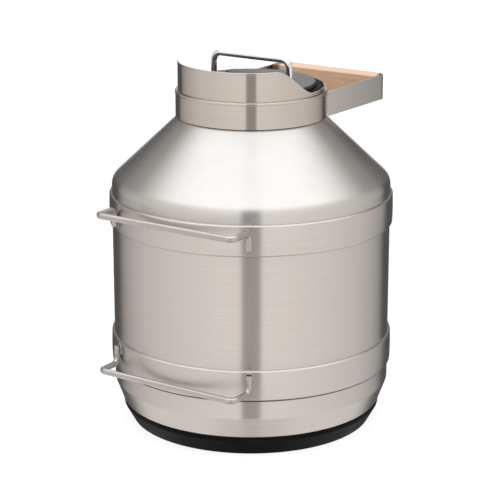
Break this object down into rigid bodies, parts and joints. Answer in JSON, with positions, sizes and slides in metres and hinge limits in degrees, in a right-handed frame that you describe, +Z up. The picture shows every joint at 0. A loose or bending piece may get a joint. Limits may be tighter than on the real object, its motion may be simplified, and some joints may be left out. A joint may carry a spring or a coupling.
{
  "type": "lidded metal can",
  "caption": "Round stainless can with a scoop-shaped pouring rim, lift-out lid with a D handle, strap loop with a wood grip, and wire handles low and high on the pouring side.",
  "frame": {"origin": "centre of the base on the floor, on the can's axis", "axes": "+Z up along the can's axis; +Y towards the grip loop; -Y towards the pouring side and the wire handles; +X to the right when looking along +Y"},
  "size_m": [0.3674, 0.4027, 0.4819],
  "materials": {
    "brushed_steel": "brushed satin",
    "lid_steel": "satin",
    "chrome": "polished",
    "screw_steel": "plain",
    "weld_steel": "heat tinted",
    "wood": "oiled beech",
    "black_rubber": "matte",
    "black_plastic": "satin",
    "black_gloss": "satin gloss"
  },
  "bodies": {
    "can": {"base_boot": "black_plastic", "base_pan": "brushed_steel", "body_shell": "brushed_steel", "lower_hoop": "brushed_steel", "upper_hoop": "brushed_steel", "shoulder_cone": "brushed_steel", "neck_collar": "brushed_steel", "pouring_rim": "brushed_steel", "upper_wire_handle": "brushed_steel", "lower_wire_handle": "brushed_steel", "weld_upper_left": "weld_steel", "weld_upper_right": "weld_steel", "weld_lower_left": "weld_steel", "weld_lower_right": "weld_steel", "grip_strap": "brushed_steel", "grip_bar": "wood", "grip_screw_left": "screw_steel", "grip_screw_right": "screw_steel", "seam_left": "weld_steel", "seam_right": "weld_steel"},
    "lid": {"lid_top": "lid_steel", "lid_boss": "black_gloss", "lid_gasket": "black_rubber", "lid_underplate": "lid_steel", "spacer_left": "screw_steel", "spacer_right": "screw_steel", "lid_handle": "chrome", "lid_screw_left": "screw_steel", "lid_screw_right": "screw_steel"}
  },
  "joints": [
    {"name": "lid_lift", "type": "slide", "parent": "can", "child": "lid", "axis": [0, 0, 1], "range_m": [0, 0.12]}
  ]
}
